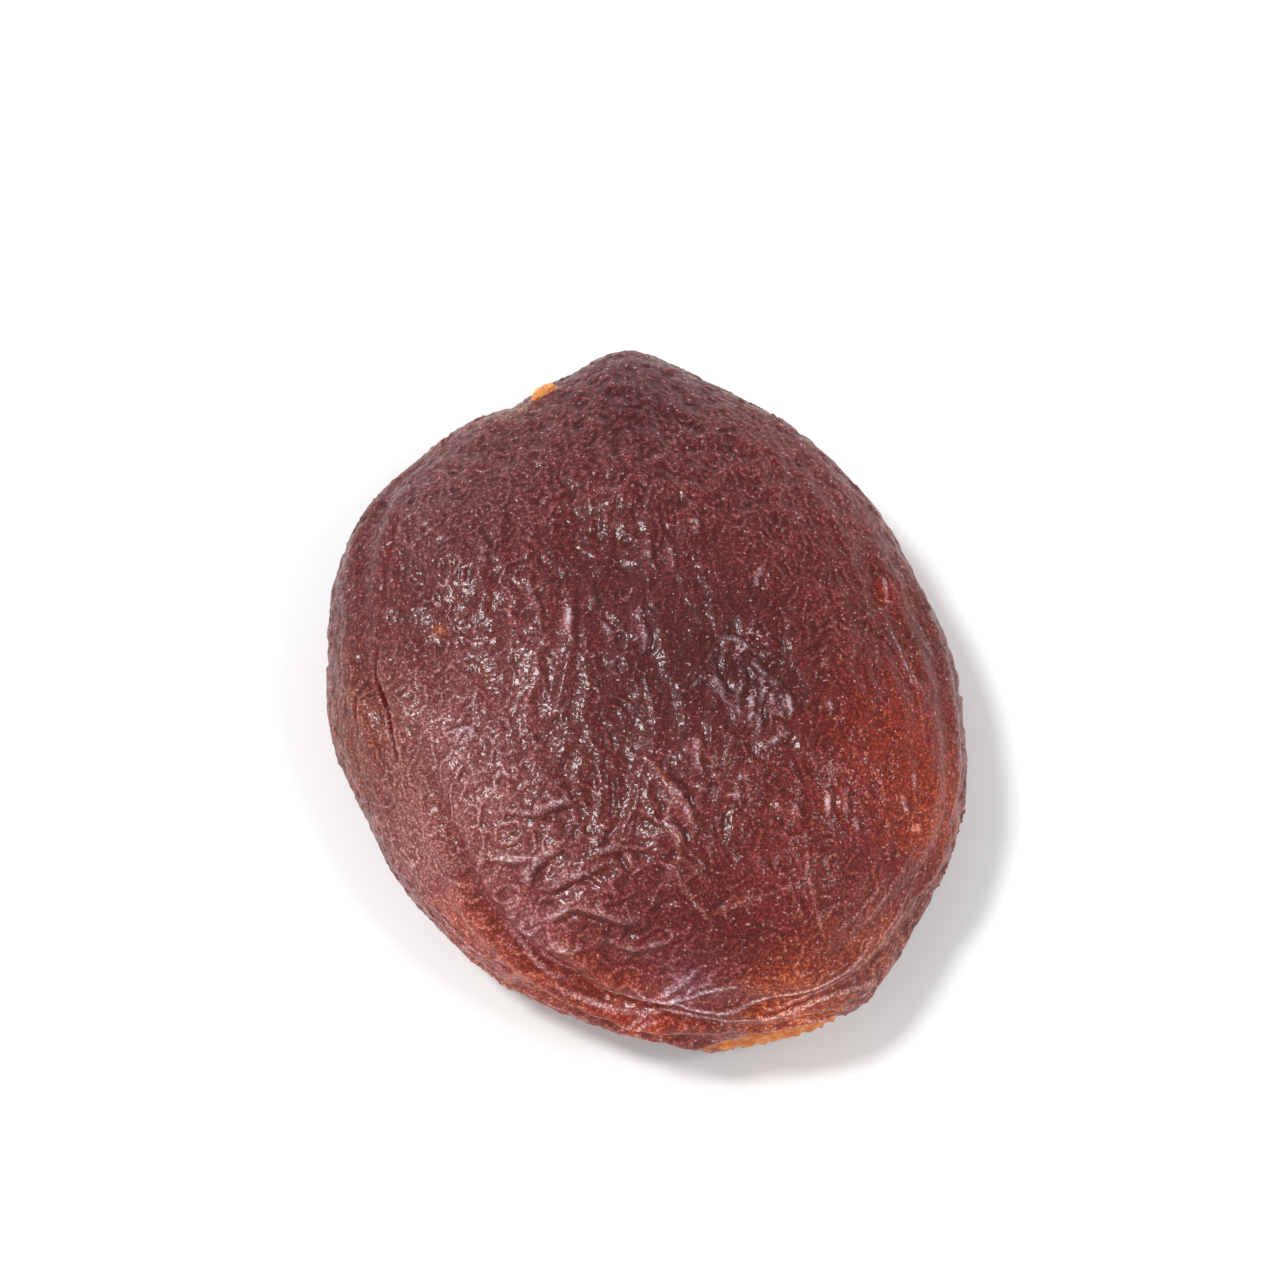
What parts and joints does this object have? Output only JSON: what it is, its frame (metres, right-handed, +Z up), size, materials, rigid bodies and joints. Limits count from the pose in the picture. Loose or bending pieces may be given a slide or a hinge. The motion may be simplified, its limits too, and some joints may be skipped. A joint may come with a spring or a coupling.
{
  "type": "dried apricot",
  "caption": "Whole stoned dried apricot, a plump brown disc with folded rim and wrinkled leathery skin.",
  "frame": {"origin": "bottom centre of the fruit's box, on the plane that it rests on", "axes": "+Z up through the upper face, +Y from the tip to the stem end, +X to the right seen from the tip"},
  "size_m": [0.035, 0.0396, 0.013],
  "materials": {
    "dried_skin": "brown-red dried fruit skin, finely wrinkled, with a soft waxy sheen; leather stands in for the skin"
  },
  "bodies": {
    "root": {"dried_apricot": "dried_skin"}
  },
  "joints": []
}
